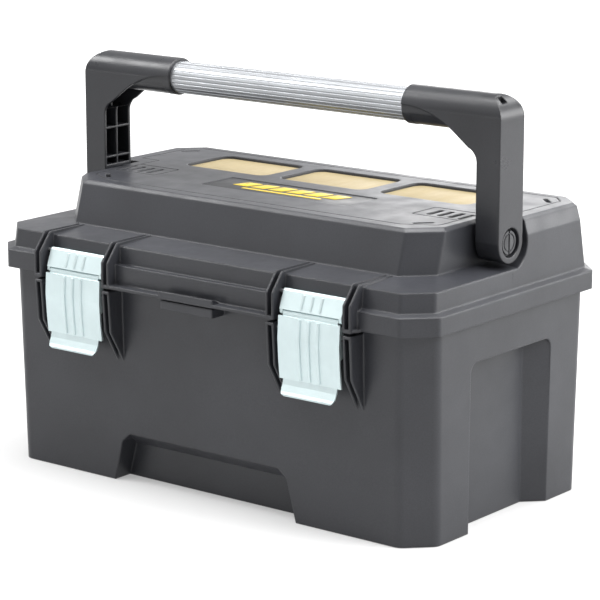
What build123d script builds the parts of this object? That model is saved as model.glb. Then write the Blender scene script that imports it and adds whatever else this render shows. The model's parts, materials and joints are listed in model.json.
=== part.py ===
from build123d import *
import os

os.makedirs("parts", exist_ok=True)

# Overall driving dimensions, mm. X width, Y depth with the front at -Y, Z up.
WALL = 3.0
TUB_BASE = (239.4, 128.1)
TUB_TOP = (241.1, 132.8)
TUB_HEIGHT = 198.0
TUB_CORNER = 23.6
TUB_ROUND = 11.0
CORNER_TRIM = 1.2
BAND_ROUND = 5.0
DECK_ROUND = 3.0
SPLIT_Z = 184.9

# Lid outline levels: half width, half depth, height, corner leg
BAND = (247.5, 140.7, SPLIT_Z, 23.9)
BAND_TOP = (247.5, 140.7, 201.3, 23.9)
LEDGE = (240.8, 134.5, 203.7, 20.8)
SHOULDER_Z = 220.5
SHOULDER_TOP_Z = 222.8
LID_TOP = 261.9
FRONT_HALF = 208.6
REAR_HALF = 237.7
REAR_HALF_TOP = 234.3
FRONT_FOOT_Y = -91.2
FRONT_TOP_Y = -79.7
REAR_Y = 130.0
REAR_CORNER = 20.8
STEP_Y = 25.0
FACET_Z = 247.0
FACET_LIP = 2.6
RAISED_CORNER = 24.0

# The shoulder lies a hair inside the straight wall that rises from the ledge to the facet
HAIR = 0.12
RISE = (SHOULDER_Z - LEDGE[2]) / (FACET_Z - LEDGE[2])
SHOULDER = (
    LEDGE[0] + RISE * (REAR_HALF - LEDGE[0]) - HAIR,
    LEDGE[1] + RISE * (REAR_Y - LEDGE[1]) - HAIR,
    SHOULDER_Z,
    REAR_CORNER,
)
RIM = 3.0
TOP_PLATE = 6.5

# Handle
PIVOT_Y = 0.3
PIVOT_Z = 243.9
LEG_IN = 213.2
LEG_OUT = 237.1
LEG_HALF = 18.0
TUBE_Z = 353.2
TUBE_R = 14.8
TUBE_BORE = 13.0
TUBE_END = 224.0
SLEEVE_R = 17.8
SLEEVE_END = 133.0
CROWN_R = 22.0
PIVOT_R = 7.0
HEAD_R = 10.2
HEAD_FACE = 235.6
HEAD_SEAT_R = 13.0
CLIP_R = 8.2
POCKET_R = 25.0

# Ribs, latches and hinge
RIB_PAIRS = (90.1, 172.3)
RIB_T = 1.8
RIB_PAIR_W = 8.2
LATCH_X = 135.3
LATCH_HALF = 32.85
PLATE_T = 2.0
LINK_PIN = (-138.6, 207.6)
LEVER_PIN = (-144.3, 191.4)
KEEPER = (-143.0, 177.0)
PIN_R = 1.6
LEVER_PIN_R = 1.1
BARREL_R = 2.0
EAR_W = 3.0
BEADS = (-10.0, 0.0, 10.0)
RUN_GAP = 0.06
HINGE_Y = 147.0
HINGE_Z = 187.0
KNUCKLE_R = 4.5
HINGE_PIN_R = 2.2
HINGE_X = 150.0
HINGE_PIN_HALF = 46.0
KNUCKLE_PITCH = 18.0
KNUCKLE_HALF = 8.6
BAY_HALF = 39.5
BAY_PIN_HALF = 39.3
LEVER_PIN_HALF = 32.6
LINK_BARREL_R = 3.0

# Features sunk in the top: width, depth, corner radius, then sink below the top
PANEL = (99.0, 66.0, 11.0)
PANEL_PITCH = 115.0
PANEL_Y = 71.0
PANEL_SINK = 3.9
BADGE = (170.0, 45.0, 3.0)
BADGE_Y = -6.5
BADGE_SINK = 1.8
SEAT_GAP = 0.3
SEAT_LIFT = 0.05
PLATE_THICK = 1.2
VENT_X = (162.0, 173.0, 184.5, 194.5)
VENT_LENGTH = 23.0
VENT_WIDTH = 5.4
LAST_VENT_WIDTH = 3.4
VENT_Y = -5.0
CORNER_SLOT = (19.0, 4.6)
GROOVE_W = 1.3
GROOVE_SINK = 1.0
ABOVE = LID_TOP + 8.0

# Tray
TRAY_HALF = (231.0, 121.0)
TRAY_BASE = 153.3
TRAY_TOP = 195.0
TRAY_T = 2.2
GRIP_T = 4.0
BIN_HALF_T = 1.1
BIN_DROP = 3.0
BIN_X_REAR = (-150.0, -75.0, 75.0, 150.0)
BIN_X_FRONT = (-110.0, 110.0)
LOOSE = 0.2


def octagon(half_x, half_y, leg):
    """Rectangle outline with its four corners cut off, counter-clockwise."""
    return [
        (half_x, -half_y + leg),
        (half_x, half_y - leg),
        (half_x - leg, half_y),
        (-half_x + leg, half_y),
        (-half_x, half_y - leg),
        (-half_x, -half_y + leg),
        (-half_x + leg, -half_y),
        (half_x - leg, -half_y),
    ]


def face_at(points, z=0.0, radius=0.0):
    """Flat polygon at height z, its corners rounded where a radius is given."""
    face = make_face(Polyline(*points, close=True))
    if radius:
        face = fillet(face.vertices(), radius)
    return Plane.XY.offset(z) * face


def prism(points, z0, z1):
    """Vertical prism between two heights."""
    return extrude(face_at(points, z0), amount=z1 - z0)


def loft_between(points0, z0, points1, z1, radius=0.0):
    """Straight-sided solid between two outlines."""
    lower = face_at(points0, z0, radius).face()
    upper = face_at(points1, z1, radius).face()
    return loft([lower, upper], ruled=True)


def ring(level0, level1, inset=0.0, drop=0.0):
    """Loft between two (half_x, half_y, z, leg) levels, shrunk by inset."""
    lower = octagon(level0[0] - inset, level0[1] - inset, level0[3])
    upper = octagon(level1[0] - inset, level1[1] - inset, level1[3])
    return loft_between(lower, level0[2] - drop, upper, level1[2] - drop, BAND_ROUND)


def x_prism(points, x0, x1):
    """Prism along X from a (y, z) outline."""
    face = Plane.YZ.offset(x0) * make_face(Polyline(*points, close=True))
    return extrude(face, amount=x1 - x0)


def y_prism(points, y0, y1):
    """Prism along Y from an (x, z) outline."""
    face = Plane.XZ.offset(-y1) * make_face(Polyline(*points, close=True))
    return extrude(face, amount=y1 - y0)


def block(x0, x1, y0, y1, z0, z1):
    """Box between corner coordinates."""
    centre = ((x0 + x1) / 2, (y0 + y1) / 2, (z0 + z1) / 2)
    return Pos(*centre) * Box(x1 - x0, y1 - y0, z1 - z0)


def x_rod(radius, x0, x1, y, z):
    """Cylinder along X."""
    return Pos((x0 + x1) / 2, y, z) * Rot(0, 90, 0) * Cylinder(radius, x1 - x0)


def strip(points, thickness):
    """Closed (y, z) outline of a folded plate: front line, then its offset back."""
    back = [(y + thickness, z) for y, z in reversed(points)]
    return list(points) + back


def both_sides(solid):
    """A solid and its mirror image in the YZ plane."""
    return solid + mirror(solid, about=Plane.YZ)


def end_recess(grow=0.0):
    """Volume pressed into one end wall, widening outwards."""
    outer, inner, deep = 61.0 + grow, 43.5 + grow, 223.0 - grow
    outline = [(deep, -inner), (245.0, -outer - 5.0), (245.0, outer + 5.0), (deep, inner)]
    front = RectangleRounded(2 * outer, 300.0 + 2 * grow, 9.0 + grow)
    window = extrude(Plane.YZ.offset(200.0) * front, amount=60.0)
    return prism(outline, -1.0, 150.0 + grow) & window


def front_recess(grow=0.0):
    """Trapezoid recess along the foot of the front wall."""
    outline = [
        (-105.5 - grow, -1.0),
        (-95.4 - grow, 38.0),
        (-86.0, 46.0 + grow),
        (86.0, 46.0 + grow),
        (95.4 + grow, 38.0),
        (105.5 + grow, -1.0),
    ]
    face = make_face(Polyline(*outline, close=True))
    upper = [v for v in face.vertices() if v.Y > 30.0]
    face = fillet(upper, 5.0)
    window = extrude(Plane.XZ.offset(100.0) * face, amount=50.0)
    slope = [
        (-150.0, -2.0),
        (-150.0, 60.0),
        (-128.0, 46.0 + grow),
        (-108.0 + grow, 32.0 + grow),
        (-108.0 + grow, -2.0),
    ]
    return window & x_prism(slope, -120.0, 120.0)


def rib_plates(points):
    """Four pairs of thin upright plates flanking the latches."""
    solid = Part()
    for start in RIB_PAIRS:
        for x0 in (start, start + RIB_PAIR_W - RIB_T):
            solid += both_sides(x_prism(points, x0, x0 + RIB_T))
    return solid


def rib_bars(y0, y1, z0, z1):
    """Short bars closing each rib pair at its end."""
    solid = Part()
    for start in RIB_PAIRS:
        solid += both_sides(block(start, start + RIB_PAIR_W, y0, y1, z0, z1))
    return solid


def bay_rods(radius, y, z, x0, x1):
    """A rod across each latch bay, given offsets from the bay centre."""
    rod = x_rod(radius, LATCH_X + x0, LATCH_X + x1, y, z)
    return both_sides(rod)


def knuckles(first):
    """Middles of every other hinge barrel: first is 0 for the tub, 1 for the lid."""
    spots = []
    for side in (-1, 1):
        for index in range(5):
            if index % 2 == first:
                spots.append(side * HINGE_X + (index - 2) * KNUCKLE_PITCH)
    return spots


def add_barrels(body, first, web):
    """Hinge barrels on the rear edge, each on its own (y, z) web, bored for the pin."""
    for x in knuckles(first):
        x0, x1 = x - KNUCKLE_HALF, x + KNUCKLE_HALF
        body += x_prism(web, x0, x1)
        body += x_rod(KNUCKLE_R, x0, x1, HINGE_Y, HINGE_Z)
        body -= x_rod(HINGE_PIN_R + RUN_GAP, x0 - RIB_T, x1 + RIB_T, HINGE_Y, HINGE_Z)
    return body


def make_tub():
    """Open tub with recessed ends, foot recess, ribs, keeper bosses and hinge barrels."""
    base = octagon(*TUB_BASE, TUB_CORNER)
    top = octagon(*TUB_TOP, TUB_CORNER)
    body = loft_between(base, 0.0, top, TUB_HEIGHT, TUB_ROUND)
    inner_base = octagon(TUB_BASE[0] - WALL, TUB_BASE[1] - WALL, TUB_CORNER - CORNER_TRIM)
    inner_top = octagon(TUB_TOP[0] - WALL, TUB_TOP[1] - WALL, TUB_CORNER - CORNER_TRIM)
    cavity = loft_between(inner_base, WALL, inner_top, TUB_HEIGHT + 0.5, TUB_ROUND - 2.0)
    cavity -= both_sides(end_recess(WALL))
    cavity -= front_recess(WALL)
    body = body - cavity - both_sides(end_recess()) - front_recess()
    profile = [(-129.5, 112.0), (-147.6, 143.5), (-150.2, 181.3), (-131.5, 181.3)]
    body += rib_plates(profile)
    body += rib_bars(-150.2, -146.5, 178.8, 181.3)
    body += block(-29.5, 29.5, -149.0, -130.5, 174.5, 182.5)
    body -= bay_rods(PIN_R + RUN_GAP, *KEEPER, -BAY_HALF, BAY_HALF)
    web = [(131.0, 178.0), (HINGE_Y, 178.0), (HINGE_Y, 184.0), (131.0, 184.0)]
    return add_barrels(body, 0, web)


def pocket_cut():
    """Rounded notch in the rear deck that the handle foot turns in."""
    disc = x_rod(POCKET_R, FRONT_HALF, 250.0, PIVOT_Y, PIVOT_Z)
    above = block(FRONT_HALF, 250.0, -30.0, STEP_Y, PIVOT_Z, 270.0)
    ahead = block(FRONT_HALF, 250.0, -40.0, PIVOT_Y, 210.0, 270.0)
    return disc + above + ahead


def raised_outline(half_x, front_y, rear_y, leg):
    """Outline of the raised deck with cut corners."""
    return [
        (half_x, front_y + leg),
        (half_x, rear_y - leg),
        (half_x - leg, rear_y),
        (-half_x + leg, rear_y),
        (-half_x, rear_y - leg),
        (-half_x, front_y + leg),
        (-half_x + leg, front_y),
        (half_x - leg, front_y),
    ]


def deck(inset=0.0, top=LID_TOP):
    """Raised deck: narrow front part and wide rear part."""
    half, leg = FRONT_HALF - inset, RAISED_CORNER - 0.5 * inset
    rear = REAR_Y - inset
    low = raised_outline(half, FRONT_FOOT_Y + inset, rear, leg)
    high = raised_outline(half, FRONT_TOP_Y + inset, rear, leg)
    rim = raised_outline(half - RIM, FRONT_TOP_Y + inset + RIM, rear - RIM, leg)
    rim_z = top - RIM
    solid = loft_between(low, SHOULDER_Z - 1.5 * inset, high, rim_z, DECK_ROUND)
    solid += loft_between(high, rim_z, rim, top, DECK_ROUND)
    return solid


def rear_outline(half, front, back):
    """Outline of the wide rear part, its two back corners cut off."""
    return [
        (half, front),
        (half, back - REAR_CORNER),
        (half - REAR_CORNER, back),
        (-half + REAR_CORNER, back),
        (-half, back - REAR_CORNER),
        (-half, front),
    ]


def rear_deck(inset=0.0, top=LID_TOP):
    """Wide rear part: straight wall up from the ledge, sloped facet, rim."""
    wide, narrow, rear = REAR_HALF - inset, REAR_HALF_TOP - inset, REAR_Y - inset
    front = STEP_Y + inset if inset else PIVOT_Y
    foot = rear_outline(LEDGE[0] - inset, front, LEDGE[1] - inset)
    waist = rear_outline(wide, front, rear)
    facet = rear_outline(narrow, front, rear - 0.5)
    rim = rear_outline(narrow - RIM, front, rear - RIM)
    solid = loft_between(foot, LEDGE[2] - inset, waist, FACET_Z)
    solid += loft_between(waist, FACET_Z, facet, top - FACET_LIP)
    solid += loft_between(facet, top - FACET_LIP, rim, top)
    return solid if inset else solid - both_sides(pocket_cut())


def lid_shell(inset):
    """Outside of the lid for inset 0, its cavity for inset WALL."""
    drop = inset
    skirt = inset + 2.0 if inset else 0.0
    start = (BAND[0], BAND[1], BAND[2] - inset, BAND[3])
    solid = ring(start, (BAND_TOP[0], BAND_TOP[1], BAND_TOP[2] - drop, BAND_TOP[3]), skirt)
    solid += ring(BAND_TOP, LEDGE, inset if inset == 0 else inset + 1.0, drop)
    solid += ring(LEDGE, SHOULDER, inset, drop)
    crown = (FRONT_HALF, -FRONT_FOOT_Y, SHOULDER_TOP_Z, SHOULDER[3])
    solid += ring(SHOULDER, crown, inset, drop)
    top = LID_TOP - (TOP_PLATE if inset else 0.0)
    solid += deck(inset, top)
    solid += rear_deck(inset, top)
    return solid


def recess(width, depth, radius, x, y, z0, z1):
    """Rounded rectangular pocket cut from above."""
    sketch = Pos(x, y) * RectangleRounded(width, depth, radius)
    return extrude(Plane.XY.offset(z0) * sketch, amount=z1 - z0)


def slot_cut(length, width, x, y, angle, depth):
    """Round-ended slot sunk in the top."""
    sketch = Pos(x, y) * Rot(0, 0, angle) * SlotOverall(length, width)
    return extrude(Plane.XY.offset(LID_TOP - depth) * sketch, amount=depth + 1.0)


def groove_cut():
    """Shallow engraved line running round the deck."""
    front = [(0.0, -65.0), (168.0, -65.0), (195.0, -50.0), (197.5, -45.0), (197.5, -22.0)]
    rear = [
        (197.5, 15.0),
        (197.5, 41.0),
        (219.0, 41.0),
        (219.0, 105.0),
        (207.0, 118.0),
        (0.0, 118.0),
    ]
    base = Plane.XY.offset(LID_TOP - GROOVE_SINK)
    lines = Part()
    for run in (front, rear):
        sketch = base * trace(Polyline(*run), line_width=GROOVE_W)
        lines += extrude(sketch, amount=2 * GROOVE_SINK)
    return both_sides(lines)


def vent_cuts():
    """Vent slots with their sunk frame, and two slots across the corners."""
    cuts = Part()
    for x in VENT_X:
        width = LAST_VENT_WIDTH if x == VENT_X[-1] else VENT_WIDTH
        cuts += slot_cut(VENT_LENGTH, width, x, VENT_Y, 90.0, 4.0)
    cuts += slot_cut(*CORNER_SLOT, 181.0, -49.0, 45.0, 3.5)
    cuts += slot_cut(*CORNER_SLOT, 208.5, 100.0, -45.0, 2.2)
    frame = recess(50.0, 37.0, 3.0, 173.0, -3.5, LID_TOP - 0.9, ABOVE)
    frame -= recess(47.4, 34.4, 2.0, 173.0, -3.5, 250.0, ABOVE + 1.0)
    return cuts + frame


def make_lid():
    """Hollow lid with recessed top, latch ribs, handle pockets and hinge barrels."""
    body = lid_shell(0.0)
    cavity = lid_shell(WALL)
    guard = x_rod(POCKET_R + WALL, FRONT_HALF - WALL, 250.0, PIVOT_Y, PIVOT_Z)
    guard += block(FRONT_HALF - WALL, 250.0, -40.0, STEP_Y + WALL, PIVOT_Z, 270.0)
    cavity -= both_sides(guard)
    body -= cavity
    body += block(-90.6, 90.6, -140.6, -133.6, 201.0, 204.4)
    body += block(-90.6, 90.6, -134.0, -129.0, 203.0, 220.0)
    for index in (-1, 0, 1):
        body -= recess(*PANEL, PANEL_PITCH * index, PANEL_Y, LID_TOP - PANEL_SINK, ABOVE)
    body -= recess(*BADGE, 0.0, BADGE_Y, LID_TOP - BADGE_SINK, ABOVE)
    body -= both_sides(vent_cuts())
    body -= groove_cut()
    body += lid_front()
    body -= both_sides(x_rod(PIVOT_R + RUN_GAP, 200.0, 212.0, PIVOT_Y, PIVOT_Z))
    web = [(140.0, 187.5), (HINGE_Y, 187.5), (HINGE_Y, 191.3), (140.0, 198.0)]
    return add_barrels(body, 1, web)


def lid_front():
    """Ribs, flange and finger tab on the front of the lid."""
    profile = [
        (-137.0, 184.0),
        (-150.4, 184.0),
        (-150.4, 207.0),
        (-137.0, 223.7),
        (-92.0, 223.5),
        (-92.0, 221.6),
        (-131.0, 219.5),
        (-135.0, 203.0),
    ]
    solid = rib_plates(profile)
    solid += rib_bars(-150.4, -146.5, 184.0, 187.0)
    solid += block(-91.0, 91.0, -150.4, -139.8, 184.2, 187.0)
    outer = RIB_PAIRS[1] + RIB_PAIR_W
    flare = [(outer - 1.0, -150.4), (outer + 4.0, -139.8), (outer - 1.0, -139.8)]
    solid += both_sides(prism(flare, 184.2, 187.0))
    tab = [(-150.4, 183.9), (-150.4, 191.0), (-146.5, 190.0), (-140.0, 187.0), (-140.0, 184.2)]
    solid += x_prism(tab, -30.7, 30.7)
    for x in (-23.0, 3.0):
        notch = [(-147.2, 188.0), (-147.2, 192.0), (-142.0, 192.0), (-142.0, 187.2)]
        solid -= x_prism(notch, x, x + 20.0)
    solid -= bay_rods(PIN_R + RUN_GAP, *LINK_PIN, -BAY_HALF, BAY_HALF)
    solid -= bay_rods(LINK_BARREL_R + 0.4, *LINK_PIN, -36.8, 36.8)
    return solid


def bracket_outline():
    """Front outline of the right-hand bracket, with its swept arch."""
    foot = (LEG_IN, 224.0)
    inner, knee, rise, tip = (LEG_IN, 313.0), (204.5, 325.0), (188.0, 337.6), (SLEEVE_END, 355.4)
    crown, shoulder = (SLEEVE_END, 372.0), (LEG_OUT - CROWN_R, 372.0)
    edges = [
        Line(foot, inner),
        ThreePointArc(inner, (211.2, 319.6), knee),
        Line(knee, rise),
        ThreePointArc(rise, (163.0, 350.6), tip),
        Line(tip, crown),
        Line(crown, shoulder),
        RadiusArc(shoulder, (LEG_OUT, 372.0 - CROWN_R), CROWN_R),
        Line((LEG_OUT, 372.0 - CROWN_R), (LEG_OUT, 224.0)),
        Line((LEG_OUT, 224.0), foot),
    ]
    return make_face(edges)


def make_bracket():
    """Right-hand handle bracket: hollow leg, arched web and tube sleeve."""
    body = extrude(Plane.XZ.offset(-LEG_HALF) * bracket_outline(), amount=2 * LEG_HALF)
    envelope = x_rod(LEG_HALF, 120.0, 245.0, PIVOT_Y, PIVOT_Z)
    envelope += block(120.0, 245.0, -LEG_HALF, LEG_HALF, PIVOT_Z, TUBE_Z)
    envelope += x_rod(SLEEVE_R, 120.0, 245.0, 0.0, TUBE_Z)
    body = body & envelope
    body += x_rod(SLEEVE_R - 1.1, SLEEVE_END, LEG_IN + 8.0, 0.0, TUBE_Z)
    t = 2.5
    leg_void = block(LEG_IN - 1.0, LEG_OUT - t, -LEG_HALF + t, LEG_HALF - t, PIVOT_Z + 20.0, 333.0)
    leg_void -= block(LEG_IN - 1.0, LEG_OUT, -2.0, 0.0, 200.0, 400.0)
    for z in (271.0, 299.0):
        leg_void -= block(LEG_IN - 1.0, LEG_OUT, -LEG_HALF, LEG_HALF, z - 1.0, z + 1.0)
    body -= leg_void
    hollow = block(SLEEVE_END + 8.0, LEG_IN + 6.0, -LEG_HALF + t, LEG_HALF - t, 318.0, 350.0)
    hollow -= x_rod(SLEEVE_R - 1.4, 120.0, 245.0, 0.0, TUBE_Z)
    body -= hollow
    body -= x_rod(TUBE_R + 0.05, 120.0, TUBE_END + 0.4, 0.0, TUBE_Z)
    body -= x_rod(PIVOT_R + RUN_GAP, 200.0, 245.0, PIVOT_Y, PIVOT_Z)
    body -= x_rod(HEAD_SEAT_R, 231.0, 245.0, PIVOT_Y, PIVOT_Z)
    body -= block(223.0 + 2.5, 245.0, -9.0, -1.0, 363.5, 369.0)
    return body


def make_tube():
    """Fluted handle tube."""
    tube = x_rod(TUBE_R, -TUBE_END, TUBE_END, 0.0, TUBE_Z)
    tube -= x_rod(TUBE_BORE, -TUBE_END - 1, TUBE_END + 1, 0.0, TUBE_Z)
    tube = tube.solid()
    cuts = []
    for index in range(24):
        spot = Rot(15.0 * index, 0, 0) * Pos(0, TUBE_R + 0.35, 0)
        cuts.append(Pos(0, 0, TUBE_Z) * spot * Rot(0, 90, 0) * Cylinder(0.9, 262.0))
    return tube - cuts


def make_pivot_pin():
    """Right-hand handle pivot: slotted head outside, shank, clip flange inside."""
    pin = x_rod(PIVOT_R, 203.0, 232.0, PIVOT_Y, PIVOT_Z)
    pin += x_rod(HEAD_R, 231.2, HEAD_FACE, PIVOT_Y, PIVOT_Z)
    pin += x_rod(CLIP_R, 203.0, 205.4, PIVOT_Y, PIVOT_Z)
    low, high = PIVOT_Z - HEAD_R, PIVOT_Z + HEAD_R
    pin -= block(HEAD_FACE - 1.4, 238.0, PIVOT_Y - 1.0, PIVOT_Y + 1.0, low, high)
    rim = x_rod(HEAD_R - 2.0, HEAD_FACE - 0.8, 238.0, PIVOT_Y, PIVOT_Z)
    return pin - (rim - x_rod(HEAD_R - 3.2, HEAD_FACE - 2.0, 239.0, PIVOT_Y, PIVOT_Z))


def bead(x, path, radius):
    """Raised half-round line pressed into a plate along a (y, z) path."""
    (y0, z0), (y1, z1) = path[0], path[1]
    section = Plane(origin=(x, y0, z0), z_dir=(0, y1 - y0, z1 - z0)) * Circle(radius)
    line = Plane.YZ.offset(x) * Polyline(*path)
    return sweep(section, path=line, transition=Transition.ROUND)


def make_link():
    """Right-hand latch link: hangs from the lid, carries the lever."""
    x0, x1 = LATCH_X - LATCH_HALF, LATCH_X + LATCH_HALF
    front = [(-146.9, 193.9), (-141.2, 209.3), (-139.8, 210.6), (-138.6, 210.4)]
    back = [(-137.6, 209.0), (-139.3, 206.6), (-143.8, 195.2), (-145.1, 193.9)]
    ear = [(-146.2, 194.6), (-146.3, 191.4), (-142.3, 191.4), (-143.6, 195.8)]
    link = x_prism(front + back, x0, x1)
    link += x_rod(LINK_BARREL_R, x0, x1, *LINK_PIN)
    for edge in (x0, x1 - EAR_W):
        link += x_rod(BARREL_R, edge, edge + EAR_W, *LEVER_PIN)
        link += x_prism(ear, edge, edge + EAR_W)
    for offset in BEADS:
        link += bead(LATCH_X + offset, [(-146.0, 195.9), (-141.7, 207.6)], 1.3)
    link -= x_rod(PIN_R + RUN_GAP, x0 - 1, x1 + 1, *LINK_PIN)
    link -= x_rod(LEVER_PIN_R + RUN_GAP, x0 - 1, x1 + 1, *LEVER_PIN)
    return link


def make_lever():
    """Right-hand latch lever: ribbed plate, flared lip, hooked side cheeks."""
    x0, x1 = LATCH_X - LATCH_HALF, LATCH_X + LATCH_HALF
    line = [(-148.4, 188.6), (-149.5, 169.0), (-148.5, 151.0), (-146.7, 133.5)]
    lever = x_prism(strip(line, PLATE_T), x0, x1)
    lip = [(-146.7, 133.9), (-147.8, 129.0), (-150.4, 123.5), (-152.0, 121.3), (-151.2, 119.6)]
    lip_plate = x_prism(strip(lip, 1.8), x0 + 4.0, x1 - 4.0)
    outline = Pos(LATCH_X, 132.0) * RectangleRounded(2 * LATCH_HALF - 8.0, 26.0, 7.0)
    lever += lip_plate & extrude(Plane.XZ.offset(130.0) * outline, amount=30.0)
    root = [(-147.0, 187.0), (-146.2, 190.8), (-142.6, 190.8), (-144.8, 186.0)]
    inner0, inner1 = x0 + EAR_W + 0.4, x1 - EAR_W - 0.4
    lever += x_rod(BARREL_R, inner0, inner1, *LEVER_PIN)
    lever += x_prism(root, inner0, inner1)
    for offset in BEADS:
        path = [(-148.6, 187.4), (-149.7, 169.0), (-148.7, 151.0), (-147.0, 135.0)]
        lever += bead(LATCH_X + offset, path, 1.5)
    cheek = [
        (-147.6, 187.0),
        (-145.0, 187.0),
        (-143.8, 184.0),
        (-142.4, 179.6),
        (-146.0, 179.6),
        (-146.0, 174.2),
        (-141.4, 174.2),
        (-140.6, 171.6),
        (-144.0, 160.0),
        (-148.4, 158.0),
    ]
    for edge in (x0, x1 - PLATE_T):
        lever += x_prism(cheek, edge, edge + PLATE_T)
    lever -= x_rod(LEVER_PIN_R + RUN_GAP, x0 - 1, x1 + 1, *LEVER_PIN)
    return lever


def make_tray():
    """Lift-out tote tray: floor and outer walls."""
    half_x, half_y = TRAY_HALF
    outline = octagon(half_x, half_y, 18.0)
    inner = octagon(half_x - TRAY_T, half_y - TRAY_T, 17.0)
    return prism(outline, TRAY_BASE, TRAY_TOP) - prism(inner, TRAY_BASE + TRAY_T, TRAY_TOP + 1)


def make_tray_dividers():
    """Loose cross plates that split the tray into bins."""
    reach, floor, top = TRAY_HALF[1] - TRAY_T - LOOSE, TRAY_BASE + TRAY_T, TRAY_TOP - BIN_DROP
    plates = []
    for x in BIN_X_REAR:
        plates.append(block(x - BIN_HALF_T, x + BIN_HALF_T, GRIP_T, reach, floor, top))
    for x in BIN_X_FRONT:
        plates.append(block(x - BIN_HALF_T, x + BIN_HALF_T, -reach, -GRIP_T, floor, top))
    return Compound(children=plates)


def make_tray_grip():
    """Middle wall of the tray that rises into a hand grip."""
    long_half, floor = TRAY_HALF[0] - TRAY_T - LOOSE, TRAY_BASE + TRAY_T
    top = TRAY_TOP - BIN_DROP
    side = [
        (long_half, floor),
        (long_half, top),
        (95.0, top),
        (72.0, 232.0),
        (-72.0, 232.0),
        (-95.0, top),
        (-long_half, top),
        (-long_half, floor),
    ]
    grip = y_prism(side, -GRIP_T + LOOSE, GRIP_T - LOOSE)
    return grip - block(-62.0, 62.0, -6.0, 6.0, top, 219.0)


def save(solid, name):
    """Write one sub-part under its node name."""
    solid.label = name
    export_step(solid, f"parts/{name}.step")


def save_pair(solid, name):
    """Write a right-hand sub-part and its mirrored left-hand twin."""
    save(mirror(solid, about=Plane.YZ), f"{name}_left")
    save(solid, f"{name}_right")


def bay_pin(radius, half, place):
    """Plain pin across the right-hand latch bay."""
    return x_rod(radius, LATCH_X - half, LATCH_X + half, *place)


def seated_plate(size, x, y, sink):
    """Thin plate lying in its recess in the top."""
    width, depth, radius = size
    base = LID_TOP - sink + SEAT_LIFT
    outline = (width - 2 * SEAT_GAP, depth - 2 * SEAT_GAP, radius - SEAT_GAP)
    return recess(*outline, x, y, base, base + PLATE_THICK)


save(make_tub(), "tub")
save(make_lid(), "lid")
save(make_tray(), "tote_tray")
save(make_tray_dividers(), "tray_dividers")
save(make_tray_grip(), "tray_grip")
save_pair(make_bracket(), "handle_bracket")
save(make_tube(), "handle_tube")
save_pair(make_pivot_pin(), "handle_pivot_pin")
save_pair(make_link(), "latch_link")
save_pair(make_lever(), "latch_lever")
save_pair(bay_pin(PIN_R, BAY_PIN_HALF, LINK_PIN), "latch_link_pin")
save_pair(bay_pin(LEVER_PIN_R, LEVER_PIN_HALF, LEVER_PIN), "latch_lever_pin")
save_pair(bay_pin(PIN_R, BAY_PIN_HALF, KEEPER), "latch_keeper_pin")
save(seated_plate(BADGE, 0.0, BADGE_Y, BADGE_SINK), "badge_plate")
for name, index in (("left", -1), ("centre", 0), ("right", 1)):
    panel = seated_plate(PANEL, PANEL_PITCH * index, PANEL_Y, PANEL_SINK)
    save(panel, f"window_panel_{name}")
for name, side in (("left", -1), ("right", 1)):
    start, end = side * HINGE_X - HINGE_PIN_HALF, side * HINGE_X + HINGE_PIN_HALF
    save(x_rod(HINGE_PIN_R, start, end, HINGE_Y, HINGE_Z), f"hinge_pin_{name}")
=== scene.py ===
import json
import math

import bmesh
import bpy
from mathutils import Matrix, Vector


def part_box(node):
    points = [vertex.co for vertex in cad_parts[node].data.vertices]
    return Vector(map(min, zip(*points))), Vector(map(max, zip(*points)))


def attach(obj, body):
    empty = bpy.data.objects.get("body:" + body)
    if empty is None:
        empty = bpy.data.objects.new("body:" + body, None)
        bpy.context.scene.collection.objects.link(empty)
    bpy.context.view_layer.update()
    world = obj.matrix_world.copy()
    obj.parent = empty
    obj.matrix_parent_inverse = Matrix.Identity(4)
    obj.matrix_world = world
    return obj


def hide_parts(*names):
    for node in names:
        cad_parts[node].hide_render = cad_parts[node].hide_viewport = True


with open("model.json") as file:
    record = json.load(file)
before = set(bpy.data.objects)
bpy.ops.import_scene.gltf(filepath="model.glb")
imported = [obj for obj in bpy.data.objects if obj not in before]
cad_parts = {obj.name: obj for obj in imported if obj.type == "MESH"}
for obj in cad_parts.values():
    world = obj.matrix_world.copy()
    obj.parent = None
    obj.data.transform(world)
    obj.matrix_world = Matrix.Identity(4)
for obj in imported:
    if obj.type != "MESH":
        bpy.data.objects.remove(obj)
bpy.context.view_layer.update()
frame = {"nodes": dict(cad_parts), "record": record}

BODY_OF = {
    node: body
    for body, members in frame["record"]["behaviour"]["bodies"].items()
    for node in members
}
BADGE_LOW, BADGE_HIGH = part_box("badge_plate")

# Finish of each moulded plastic
SHELL_FINISH = {"roughness": 0.37, "grain": 0.14}
TRAY_FINISH = {"roughness": 0.45, "grain": 0.15}
BRACKET_FINISH = {"roughness": 0.32, "grain": 0.10}
BADGE_FINISH = {"roughness": 0.4, "grain": 0.1}
BRACKET_EDGE_SHARE = 0.8

# Brush lines run along the axis that has the small factor
ALONG_TUBE = (0.03, 1.0, 1.0)
ALONG_PIN = (0.05, 1.0, 1.0)
DOWN_PLATE = (1.0, 1.0, 0.04)

# Rounding of edges, in metres: in the shading first, then in the mesh
TUBE_EDGE = 0.0002
PLATE_EDGE = 0.0005
TRAY_EDGE = 0.0006
PIVOT_EDGE = 0.0004
PANEL_EDGE = 0.0004
BADGE_EDGE = 0.0003
EDGE_SEGMENTS = 3
EDGE_ANGLE = math.radians(28.0)
FLAT_ANGLE = math.radians(0.6)
WELD_DISTANCE = 0.00001
SHADING_SAMPLES = 6

# Range of a noise texture that carries nearly all of its values
NOISE_LOW, NOISE_HIGH = 0.3, 0.7

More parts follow.
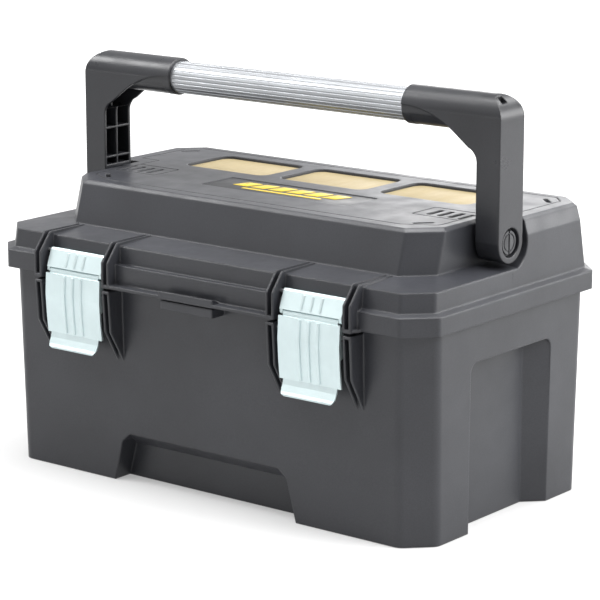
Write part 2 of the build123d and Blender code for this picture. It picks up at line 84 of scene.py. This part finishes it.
# Badge bars, in metres
BAR_COUNT = 6
BAR_PITCH = 0.0205
BAR_HALF_X, BAR_HALF_Y = 0.0078, 0.0085
BAR_LEAN = 0.35
BAR_BACK = 0.005
STRIP_HALF_X = 0.045
STRIP_FRONT, STRIP_BACK = 0.0125, 0.0085
BAR_SINK, BAR_RISE = 0.0003, 0.0004
BAR_ROUND = 0.0003

# Studio floor and camera
FLOOR_HALF = 6.0
FLOOR_DROP = 0.0006
GLOW_FROM, GLOW_TO = 0.6, 2.4
SENSOR_WIDTH = 36.0

bl_info = {
    "name": "Toolbox with Tray",
    "version": (1, 0, 0),
    "blender": (4, 5, 0),
    "location": "View3D > Sidebar > Toolbox",
    "description": "Finishes the moulded toolbox, its handle, latches and tray",
    "category": "Object",
}


# ---------------------------------------------------------------- settings


class ToolboxPlasticSettings(bpy.types.PropertyGroup):
    """Colours of the moulded plastic pieces."""

    shell_dark: bpy.props.FloatVectorProperty(
        name="Shell dark",
        description="Darker tone of the tub and lid plastic",
        default=(0.0225, 0.0234, 0.0275),
        size=3,
        subtype="COLOR",
    )
    shell_light: bpy.props.FloatVectorProperty(
        name="Shell light",
        description="Lighter tone of the tub and lid plastic",
        default=(0.0300, 0.0312, 0.0365),
        size=3,
        subtype="COLOR",
    )
    tray_tone: bpy.props.FloatVectorProperty(
        name="Tray tone",
        description="Colour of the tote tray",
        default=(0.022, 0.023, 0.025),
        size=3,
        subtype="COLOR",
    )
    panel_tone: bpy.props.FloatVectorProperty(
        name="Panel tone",
        description="Colour of the three smooth lid panels",
        default=(0.240, 0.194, 0.106),
        size=3,
        subtype="COLOR",
    )
    badge_tone: bpy.props.FloatVectorProperty(
        name="Badge tone",
        description="Colour of the raised badge bars",
        default=(0.58, 0.42, 0.02),
        size=3,
        subtype="COLOR",
    )
    edge_width: bpy.props.FloatProperty(
        name="Edge rounding",
        description="Radius of the softened moulded edges",
        default=0.0026,
        unit="LENGTH",
    )


class ToolboxMetalSettings(bpy.types.PropertyGroup):
    """Colours of the metal pieces."""

    zinc_tone: bpy.props.FloatVectorProperty(
        name="Zinc tone",
        description="Colour of the plated latches",
        default=(0.57, 0.67, 0.68),
        size=3,
        subtype="COLOR",
    )
    tube_tone: bpy.props.FloatVectorProperty(
        name="Tube tone",
        description="Colour of the fluted carrying tube",
        default=(0.34, 0.35, 0.365),
        size=3,
        subtype="COLOR",
    )
    pin_tone: bpy.props.FloatVectorProperty(
        name="Pin tone",
        description="Colour of the hinge and latch pins",
        default=(0.42, 0.43, 0.44),
        size=3,
        subtype="COLOR",
    )


class ToolboxStageSettings(bpy.types.PropertyGroup):
    """Camera and light of the studio."""

    lens: bpy.props.FloatProperty(
        name="Lens", description="Focal length in millimetres", default=156.8, min=20.0
    )
    camera_place: bpy.props.FloatVectorProperty(
        name="Camera place",
        description="Where the camera stands",
        default=(1.45115, -1.81928, 0.69942),
        size=3,
        subtype="TRANSLATION",
        unit="LENGTH",
    )
    aim: bpy.props.FloatVectorProperty(
        name="Aim",
        description="The point the camera looks at",
        default=(0.00105, 0.0092, 0.1583),
        size=3,
        subtype="TRANSLATION",
        unit="LENGTH",
    )
    floor_tone: bpy.props.FloatProperty(
        name="Floor tone", description="Paleness of the floor", default=0.4, min=0.0, max=1.0
    )
    floor_glow: bpy.props.FloatProperty(
        name="Floor glow",
        description="Light the paper floor adds of its own",
        default=0.33,
        min=0.0,
    )
    fill: bpy.props.FloatProperty(
        name="Fill",
        description="Strength of the even light from all round",
        default=0.28,
        min=0.0,
    )
    sheen: bpy.props.FloatProperty(
        name="Sheen",
        description="Brightness of the surroundings in reflections",
        default=0.8,
        min=0.0,
    )
    backdrop: bpy.props.FloatProperty(
        name="Backdrop",
        description="Brightness of the white surroundings",
        default=1.15,
        min=0.0,
    )


# ---------------------------------------------------------------- materials


class Recipe:
    """Short way to lay out a procedural material."""

    def __init__(self, name):
        self.material = bpy.data.materials.new(name)
        self.material.use_nodes = True
        self.tree = self.material.node_tree
        self.shader = self.tree.nodes["Principled BSDF"]
        self.place = self.tree.nodes.new("ShaderNodeTexCoord")

    def add(self, kind, **values):
        """Adds a shader node and sets its properties."""
        node = self.tree.nodes.new(kind)
        for key, value in values.items():
            setattr(node, key, value)
        return node

    def join(self, source, out, target, into):
        self.tree.links.new(source.outputs[out], target.inputs[into])

    def mapped(self, scale):
        mapping = self.add("ShaderNodeMapping")
        mapping.inputs["Scale"].default_value = scale
        self.join(self.place, "Object", mapping, "Vector")
        return mapping

    def noise(self, scale, detail=2.0, rough=0.5, stretch=(1.0, 1.0, 1.0)):
        node = self.add("ShaderNodeTexNoise")
        node.inputs["Scale"].default_value = scale
        node.inputs["Detail"].default_value = detail
        node.inputs["Roughness"].default_value = rough
        self.join(self.mapped(stretch), "Vector", node, "Vector")
        return node

    def ramp(self, source, out, low, high, start=0.35, end=0.65):
        node = self.add("ShaderNodeValToRGB")
        node.color_ramp.elements[0].position = start
        node.color_ramp.elements[1].position = end
        node.color_ramp.elements[0].color = (*low, 1.0)
        node.color_ramp.elements[1].color = (*high, 1.0)
        self.join(source, out, node, "Fac")
        return node

    def spread(self, source, out, low, high):
        node = self.add("ShaderNodeMapRange")
        node.inputs["From Min"].default_value = NOISE_LOW
        node.inputs["From Max"].default_value = NOISE_HIGH
        node.inputs["To Min"].default_value = low
        node.inputs["To Max"].default_value = high
        self.join(source, out, node, "Value")
        return node

    def times(self, first, second):
        """Multiplies two colours."""
        node = self.add("ShaderNodeMixRGB", blend_type="MULTIPLY")
        node.inputs["Fac"].default_value = 1.0
        self.join(first, "Color", node, "Color1")
        self.join(second, "Color", node, "Color2")
        return node

    def eased(self, radius):
        """Rounds hard edges in the shading only."""
        node = self.add("ShaderNodeBevel", samples=SHADING_SAMPLES)
        node.inputs["Radius"].default_value = radius
        return node

    def bump(self, source, out, strength, distance, under=None):
        node = self.add("ShaderNodeBump")
        node.inputs["Strength"].default_value = strength
        node.inputs["Distance"].default_value = distance
        self.join(source, out, node, "Height")
        if under is not None:
            self.join(under, "Normal", node, "Normal")
        return node


def moulded_plastic(name, dark, light, roughness, grain, edge=0.0, specular=0.4):
    """Spark-eroded moulded plastic: fine grain, faint flow clouds, scuffed sheen."""
    r = Recipe(name)
    rounding = r.eased(edge) if edge else None
    cloud = r.noise(9.0, 3.0)
    tone = r.ramp(cloud, "Fac", dark, light)
    speck = r.noise(900.0, 3.0, 0.6)
    fleck = r.ramp(speck, "Fac", (0.86, 0.86, 0.86), (1.12, 1.12, 1.12))
    r.join(r.times(tone, fleck), "Color", r.shader, "Base Color")
    sheen = r.spread(r.noise(45.0, 4.0), "Fac", roughness - 0.05, roughness + 0.06)
    r.join(sheen, "Result", r.shader, "Roughness")
    coarse = r.bump(r.noise(520.0, 2.0), "Fac", grain, 0.00018, rounding)
    fine = r.bump(r.noise(1500.0, 2.0, 0.7), "Fac", grain * 0.6, 0.00009, coarse)
    r.join(fine, "Normal", r.shader, "Normal")
    r.shader.inputs["Specular IOR Level"].default_value = specular
    return r.material


def smooth_plastic(name, dark, light, roughness):
    """Smooth pressed plastic with slight cloudiness and light handling marks."""
    r = Recipe(name)
    cloud = r.noise(26.0, 4.0, 0.6)
    r.join(r.ramp(cloud, "Fac", dark, light), "Color", r.shader, "Base Color")
    marks = r.noise(70.0, 5.0, 0.7, (1.0, 0.25, 1.0))
    sheen = r.spread(marks, "Fac", roughness - 0.06, roughness + 0.08)
    r.join(sheen, "Result", r.shader, "Roughness")
    r.join(r.bump(r.noise(600.0, 2.0), "Fac", 0.05, 0.00008), "Normal", r.shader, "Normal")
    r.shader.inputs["Specular IOR Level"].default_value = 0.3
    return r.material


def plated_metal(name, dark, light, roughness, stretch, metallic, edge=0.0):
    """Rolled and plated metal: long fine brush lines over soft clouding."""
    r = Recipe(name)
    rounding = r.eased(edge) if edge else None
    r.shader.inputs["Metallic"].default_value = metallic
    cloud = r.noise(34.0, 4.0, 0.6)
    r.join(r.ramp(cloud, "Fac", dark, light), "Color", r.shader, "Base Color")
    lines = r.noise(420.0, 4.0, 0.6, stretch)
    sheen = r.spread(lines, "Fac", roughness - 0.06, roughness + 0.08)
    r.join(sheen, "Result", r.shader, "Roughness")
    r.join(r.bump(lines, "Fac", 0.10, 0.00006, rounding), "Normal", r.shader, "Normal")
    return r.material


def glowing_paper(name, tone, glow):
    """Pale paper floor that brightens away from the middle, like a lit sweep."""
    r = Recipe(name)
    r.join(r.ramp(r.noise(3.0), "Fac", tinted(tone, 0.99), tone), "Color", r.shader, "Base Color")
    r.shader.inputs["Roughness"].default_value = 0.85
    r.shader.inputs["Emission Color"].default_value = (1.0, 1.0, 1.0, 1.0)
    away = r.add("ShaderNodeVectorMath", operation="LENGTH")
    r.join(r.place, "Object", away, 0)
    rise = r.add("ShaderNodeMapRange")
    rise.inputs["From Min"].default_value = GLOW_FROM
    rise.inputs["From Max"].default_value = GLOW_TO
    rise.inputs["To Min"].default_value = glow
    rise.inputs["To Max"].default_value = 1.0
    r.join(away, "Value", rise, "Value")
    r.join(rise, "Result", r.shader, "Emission Strength")
    return r.material


def tinted(colour, factor):
    """A colour made darker or lighter."""
    return tuple(min(1.0, c * factor) for c in colour)


# ---------------------------------------------------------------- pieces


def finished(obj, body, material):
    """Gives a new piece its finish and makes it ride on its body."""
    obj.data.materials.clear()
    obj.data.materials.append(material)
    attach(obj, body)
    return obj


def softened(node, name, material, width):
    """A merged copy of a CAD node with its moulded or pressed edges rounded."""
    bm = bmesh.new()
    bm.from_mesh(frame["nodes"][node].data)
    bmesh.ops.remove_doubles(bm, verts=bm.verts, dist=WELD_DISTANCE)
    bmesh.ops.dissolve_limit(bm, angle_limit=FLAT_ANGLE, verts=bm.verts, edges=bm.edges)
    mesh = bpy.data.meshes.new(name)
    bm.to_mesh(mesh)
    bm.free()
    mesh.shade_smooth()
    obj = bpy.data.objects.new(name, mesh)
    bpy.context.scene.collection.objects.link(obj)
    edge = obj.modifiers.new("Rounded edges", "BEVEL")
    edge.width = width
    edge.segments = EDGE_SEGMENTS
    edge.limit_method = "ANGLE"
    edge.angle_limit = EDGE_ANGLE
    edge.use_clamp_overlap = True
    edge.harden_normals = True
    edge.miter_outer = "MITER_ARC"
    finished(obj, BODY_OF[node], material)
    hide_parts(node)
    return obj


def repaint(node, material):
    """Gives a CAD node its finish."""
    mesh = frame["nodes"][node].data
    mesh.materials.clear()
    mesh.materials.append(material)


def new_piece(name, bm, body, material):
    """Turns a finished bmesh into a piece."""
    bmesh.ops.recalc_face_normals(bm, faces=bm.faces)
    mesh = bpy.data.meshes.new(name)
    bm.to_mesh(mesh)
    bm.free()
    mesh.shade_smooth()
    obj = bpy.data.objects.new(name, mesh)
    bpy.context.scene.collection.objects.link(obj)
    return finished(obj, body, material)


def rounded_block(bm, low, high, radius):
    """Adds a block with rounded edges to a bmesh."""
    low, high = Vector(low), Vector(high)
    made = bmesh.ops.create_cube(bm, size=1.0)
    place = Matrix.Translation((low + high) / 2) @ Matrix.Diagonal((*(high - low), 1.0))
    bmesh.ops.transform(bm, matrix=place, verts=made["verts"])
    edges = {e for v in made["verts"] for e in v.link_edges}
    bmesh.ops.bevel(
        bm,
        geom=list(edges),
        offset=radius,
        affect="EDGES",
        segments=EDGE_SEGMENTS,
        profile=0.5,
        material=-1,
        clamp_overlap=True,
    )


# ---------------------------------------------------------------- operators


class TOOLBOX_OT_shell(bpy.types.Operator):
    """Tub and lid in grained plastic, with edges rounded in the shading"""

    bl_idname = "toolbox.shell"
    bl_label = "Tub and lid"

    def execute(self, context):
        look = context.scene.toolbox_plastic
        plastic = moulded_plastic(
            "Moulded shell plastic",
            look.shell_dark,
            look.shell_light,
            edge=look.edge_width,
            **SHELL_FINISH,
        )
        repaint("tub", plastic)
        repaint("lid", plastic)
        return {"FINISHED"}


class TOOLBOX_OT_tray(bpy.types.Operator):
    """Tote tray inside the tub"""

    bl_idname = "toolbox.tray"
    bl_label = "Tote tray"

    def execute(self, context):
        look = context.scene.toolbox_plastic
        plastic = moulded_plastic(
            "Tray plastic",
            tinted(look.tray_tone, 0.9),
            tinted(look.tray_tone, 1.15),
            **TRAY_FINISH,
        )
        for node in ("tote_tray", "tray_grip", "tray_dividers"):
            softened(node, f"{node}_moulded", plastic, TRAY_EDGE)
        return {"FINISHED"}


class TOOLBOX_OT_handle(bpy.types.Operator):
    """Carrying handle: brackets, fluted tube and pivots"""

    bl_idname = "toolbox.handle"
    bl_label = "Handle"

    def execute(self, context):
        look = context.scene.toolbox_plastic
        metal = context.scene.toolbox_metal
        plastic = moulded_plastic(
            "Bracket plastic",
            tinted(look.shell_dark, 0.62),
            tinted(look.shell_light, 0.68),
            edge=BRACKET_EDGE_SHARE * look.edge_width,
            **BRACKET_FINISH,
        )
        pin = smooth_plastic(
            "Pivot plastic", (0.035, 0.036, 0.039), (0.05, 0.051, 0.055), roughness=0.35
        )
        for side in ("left", "right"):
            repaint(f"handle_bracket_{side}", plastic)
            softened(
                f"handle_pivot_pin_{side}", f"pivot_{side}", pin, PIVOT_EDGE
            )
        tube = plated_metal(
            "Drawn aluminium",
            tinted(metal.tube_tone, 0.92),
            metal.tube_tone,
            roughness=0.36,
            stretch=ALONG_TUBE,
            metallic=0.85,
            edge=TUBE_EDGE,
        )
        repaint("handle_tube", tube)
        return {"FINISHED"}


class TOOLBOX_OT_latches(bpy.types.Operator):
    """Both draw latches and their pins"""

    bl_idname = "toolbox.latches"
    bl_label = "Latches"

    def execute(self, context):
        metal = context.scene.toolbox_metal
        zinc = plated_metal(
            "Pale zinc plate",
            tinted(metal.zinc_tone, 0.93),
            metal.zinc_tone,
            roughness=0.34,
            stretch=DOWN_PLATE,
            metallic=0.6,
            edge=PLATE_EDGE,
        )
        steel = plated_metal(
            "Pin steel",
            tinted(metal.pin_tone, 0.8),
            metal.pin_tone,
            roughness=0.34,
            stretch=ALONG_PIN,
            metallic=1.0,
        )
        for side in ("left", "right"):
            repaint(f"latch_link_{side}", zinc)
            repaint(f"latch_lever_{side}", zinc)
            for pin in ("latch_link_pin", "latch_lever_pin", "latch_keeper_pin", "hinge_pin"):
                repaint(f"{pin}_{side}", steel)
        return {"FINISHED"}


class TOOLBOX_OT_panels(bpy.types.Operator):
    """Three smooth panels let into the lid"""

    bl_idname = "toolbox.panels"
    bl_label = "Lid panels"

    def execute(self, context):
        tone = context.scene.toolbox_plastic.panel_tone
        panel = smooth_plastic(
            "Panel plastic", tinted(tone, 0.94), tinted(tone, 1.05), roughness=0.5
        )
        for place in ("left", "centre", "right"):
            softened(
                f"window_panel_{place}", f"panel_{place}", panel, PANEL_EDGE
            )
        return {"FINISHED"}


class TOOLBOX_OT_badge(bpy.types.Operator):
    """Plain badge with a row of raised blocks in place of lettering"""

    bl_idname = "toolbox.badge"
    bl_label = "Badge"

    def execute(self, context):
        look = context.scene.toolbox_plastic
        base = moulded_plastic(
            "Badge base",
            tinted(look.shell_dark, 0.5),
            tinted(look.shell_light, 0.55),
            **BADGE_FINISH,
        )
        softened("badge_plate", "badge_base", base, BADGE_EDGE)
        bars = bmesh.new()
        low_z, high_z = BADGE_HIGH.z - BAR_SINK, BADGE_HIGH.z + BAR_RISE
        middle = (BADGE_LOW + BADGE_HIGH) / 2
        lean = Matrix.Identity(4)
        lean[0][1] = BAR_LEAN
        for index in range(BAR_COUNT):
            x = (index - (BAR_COUNT - 1) / 2) * BAR_PITCH
            rounded_block(
                bars,
                (x - BAR_HALF_X, -BAR_HALF_Y, low_z),
                (x + BAR_HALF_X, BAR_HALF_Y, high_z),
                BAR_ROUND,
            )
        shift = Matrix.Translation((middle.x, middle.y + BAR_BACK, 0.0))
        bmesh.ops.transform(bars, matrix=shift @ lean, verts=bars.verts)
        strip_low = (middle.x - STRIP_HALF_X, middle.y - STRIP_FRONT, low_z)
        strip_high = (middle.x + STRIP_HALF_X, middle.y - STRIP_BACK, high_z)
        rounded_block(bars, strip_low, strip_high, BAR_ROUND)
        yellow = smooth_plastic(
            "Badge yellow",
            tinted(look.badge_tone, 0.94),
            tinted(look.badge_tone, 1.05),
            roughness=0.3,
        )
        new_piece("badge_bars", bars, BODY_OF["badge_plate"], yellow)
        return {"FINISHED"}


class TOOLBOX_OT_stage(bpy.types.Operator):
    """Pale floor, soft studio light and the camera"""

    bl_idname = "toolbox.stage"
    bl_label = "Studio"

    def world(self, context):
        """White surroundings: bright behind and in reflections, gentle as fill light."""
        look = context.scene.toolbox_stage
        world = bpy.data.worlds.new("Studio world")
        world.use_nodes = True
        tree = world.node_tree
        path = tree.nodes.new("ShaderNodeLightPath")
        current = tree.nodes["Background"]
        current.inputs["Color"].default_value = (1.0, 1.0, 1.0, 1.0)
        current.inputs["Strength"].default_value = look.fill
        for ray, strength in (("Is Glossy Ray", look.sheen), ("Is Camera Ray", look.backdrop)):
            white = tree.nodes.new("ShaderNodeBackground")
            white.inputs["Color"].default_value = (1.0, 1.0, 1.0, 1.0)
            white.inputs["Strength"].default_value = strength
            blend = tree.nodes.new("ShaderNodeMixShader")
            tree.links.new(path.outputs[ray], blend.inputs["Fac"])
            tree.links.new(current.outputs[0], blend.inputs[1])
            tree.links.new(white.outputs["Background"], blend.inputs[2])
            current = blend
        tree.links.new(current.outputs[0], tree.nodes["World Output"].inputs["Surface"])
        context.scene.world = world

    def area(self, name, place, target, size, power):
        """Adds one soft box that faces the target."""
        light = bpy.data.lights.new(name, "AREA")
        light.shape = "RECTANGLE"
        light.size, light.size_y = size
        light.energy = power
        obj = bpy.data.objects.new(name, light)
        bpy.context.scene.collection.objects.link(obj)
        obj.location = place
        obj.visible_camera = False
        sight = Vector(target) - Vector(place)
        obj.rotation_euler = sight.to_track_quat("-Z", "Y").to_euler()

    def execute(self, context):
        look = context.scene.toolbox_stage
        bm = bmesh.new()
        bmesh.ops.create_grid(bm, x_segments=1, y_segments=1, size=FLOOR_HALF)
        mesh = bpy.data.meshes.new("Studio floor")
        bm.to_mesh(mesh)
        bm.free()
        floor = bpy.data.objects.new("Studio floor", mesh)
        context.scene.collection.objects.link(floor)
        tone = (look.floor_tone,) * 3
        floor.data.materials.append(glowing_paper("Studio paper", tone, look.floor_glow))
        floor.location.z = -FLOOR_DROP
        self.world(context)
        for name, place, target, size, power in SOFT_BOXES:
            self.area(name, place, target, size, power)
        camera = bpy.data.objects.new("Camera", bpy.data.cameras.new("Camera"))
        context.scene.collection.objects.link(camera)
        camera.data.lens = look.lens
        camera.data.sensor_width = SENSOR_WIDTH
        camera.location = look.camera_place
        sight = Vector(look.aim) - Vector(look.camera_place)
        camera.rotation_euler = sight.to_track_quat("-Z", "Y").to_euler()
        context.scene.camera = camera
        context.scene.view_settings.view_transform = "Standard"
        return {"FINISHED"}


class TOOLBOX_PT_panel(bpy.types.Panel):
    """Lists the steps that finish the toolbox"""

    bl_idname = "TOOLBOX_PT_panel"
    bl_label = "Toolbox"
    bl_space_type = "VIEW_3D"
    bl_region_type = "UI"
    bl_category = "Toolbox"

    def draw(self, context):
        for settings in SETTINGS:
            group = getattr(context.scene, settings)
            for key in group.__annotations__:
                self.layout.prop(group, key)
        for step in STEPS:
            self.layout.operator(step.bl_idname)


SOFT_BOXES = (
    ("Overhead", (0.1, -0.1, 2.4), (0.0, 0.0, 0.2), (2.6, 1.8), 125.0),
    ("Right side", (2.0, 0.8, 1.6), (0.1, 0.0, 0.15), (1.6, 1.2), 74.0),
    ("Front left", (-1.6, -2.2, 1.3), (0.0, 0.0, 0.15), (1.2, 1.2), 4.0),
    ("Back card", (-1.0, 2.3, 0.85), (0.15, 0.0, 0.25), (1.1, 0.9), 9.0),
    ("Left rim card", (-1.7, -0.7, 1.8), (0.0, 0.0, 0.2), (0.9, 0.7), 26.0),
    ("Back rim card", (0.6, 2.1, 1.7), (0.1, 0.0, 0.2), (0.8, 0.6), 12.0),
    ("Low right card", (1.6, 2.0, 0.62), (0.24, 0.05, 0.25), (1.1, 0.7), 17.0),
)
SETTINGS = {
    "toolbox_plastic": ToolboxPlasticSettings,
    "toolbox_metal": ToolboxMetalSettings,
    "toolbox_stage": ToolboxStageSettings,
}
STEPS = (
    TOOLBOX_OT_shell,
    TOOLBOX_OT_tray,
    TOOLBOX_OT_handle,
    TOOLBOX_OT_latches,
    TOOLBOX_OT_panels,
    TOOLBOX_OT_badge,
    TOOLBOX_OT_stage,
)
CLASSES = (*SETTINGS.values(), *STEPS, TOOLBOX_PT_panel)


def register():
    for cls in CLASSES:
        bpy.utils.register_class(cls)
    for name, group in SETTINGS.items():
        setattr(bpy.types.Scene, name, bpy.props.PointerProperty(type=group))


def unregister():
    for name in SETTINGS:
        delattr(bpy.types.Scene, name)
    for cls in reversed(CLASSES):
        bpy.utils.unregister_class(cls)


def main():
    register()
    bpy.ops.toolbox.shell()
    bpy.ops.toolbox.tray()
    bpy.ops.toolbox.handle()
    bpy.ops.toolbox.latches()
    bpy.ops.toolbox.panels()
    bpy.ops.toolbox.badge()
    bpy.ops.toolbox.stage()


if __name__ == "__main__":
    main()
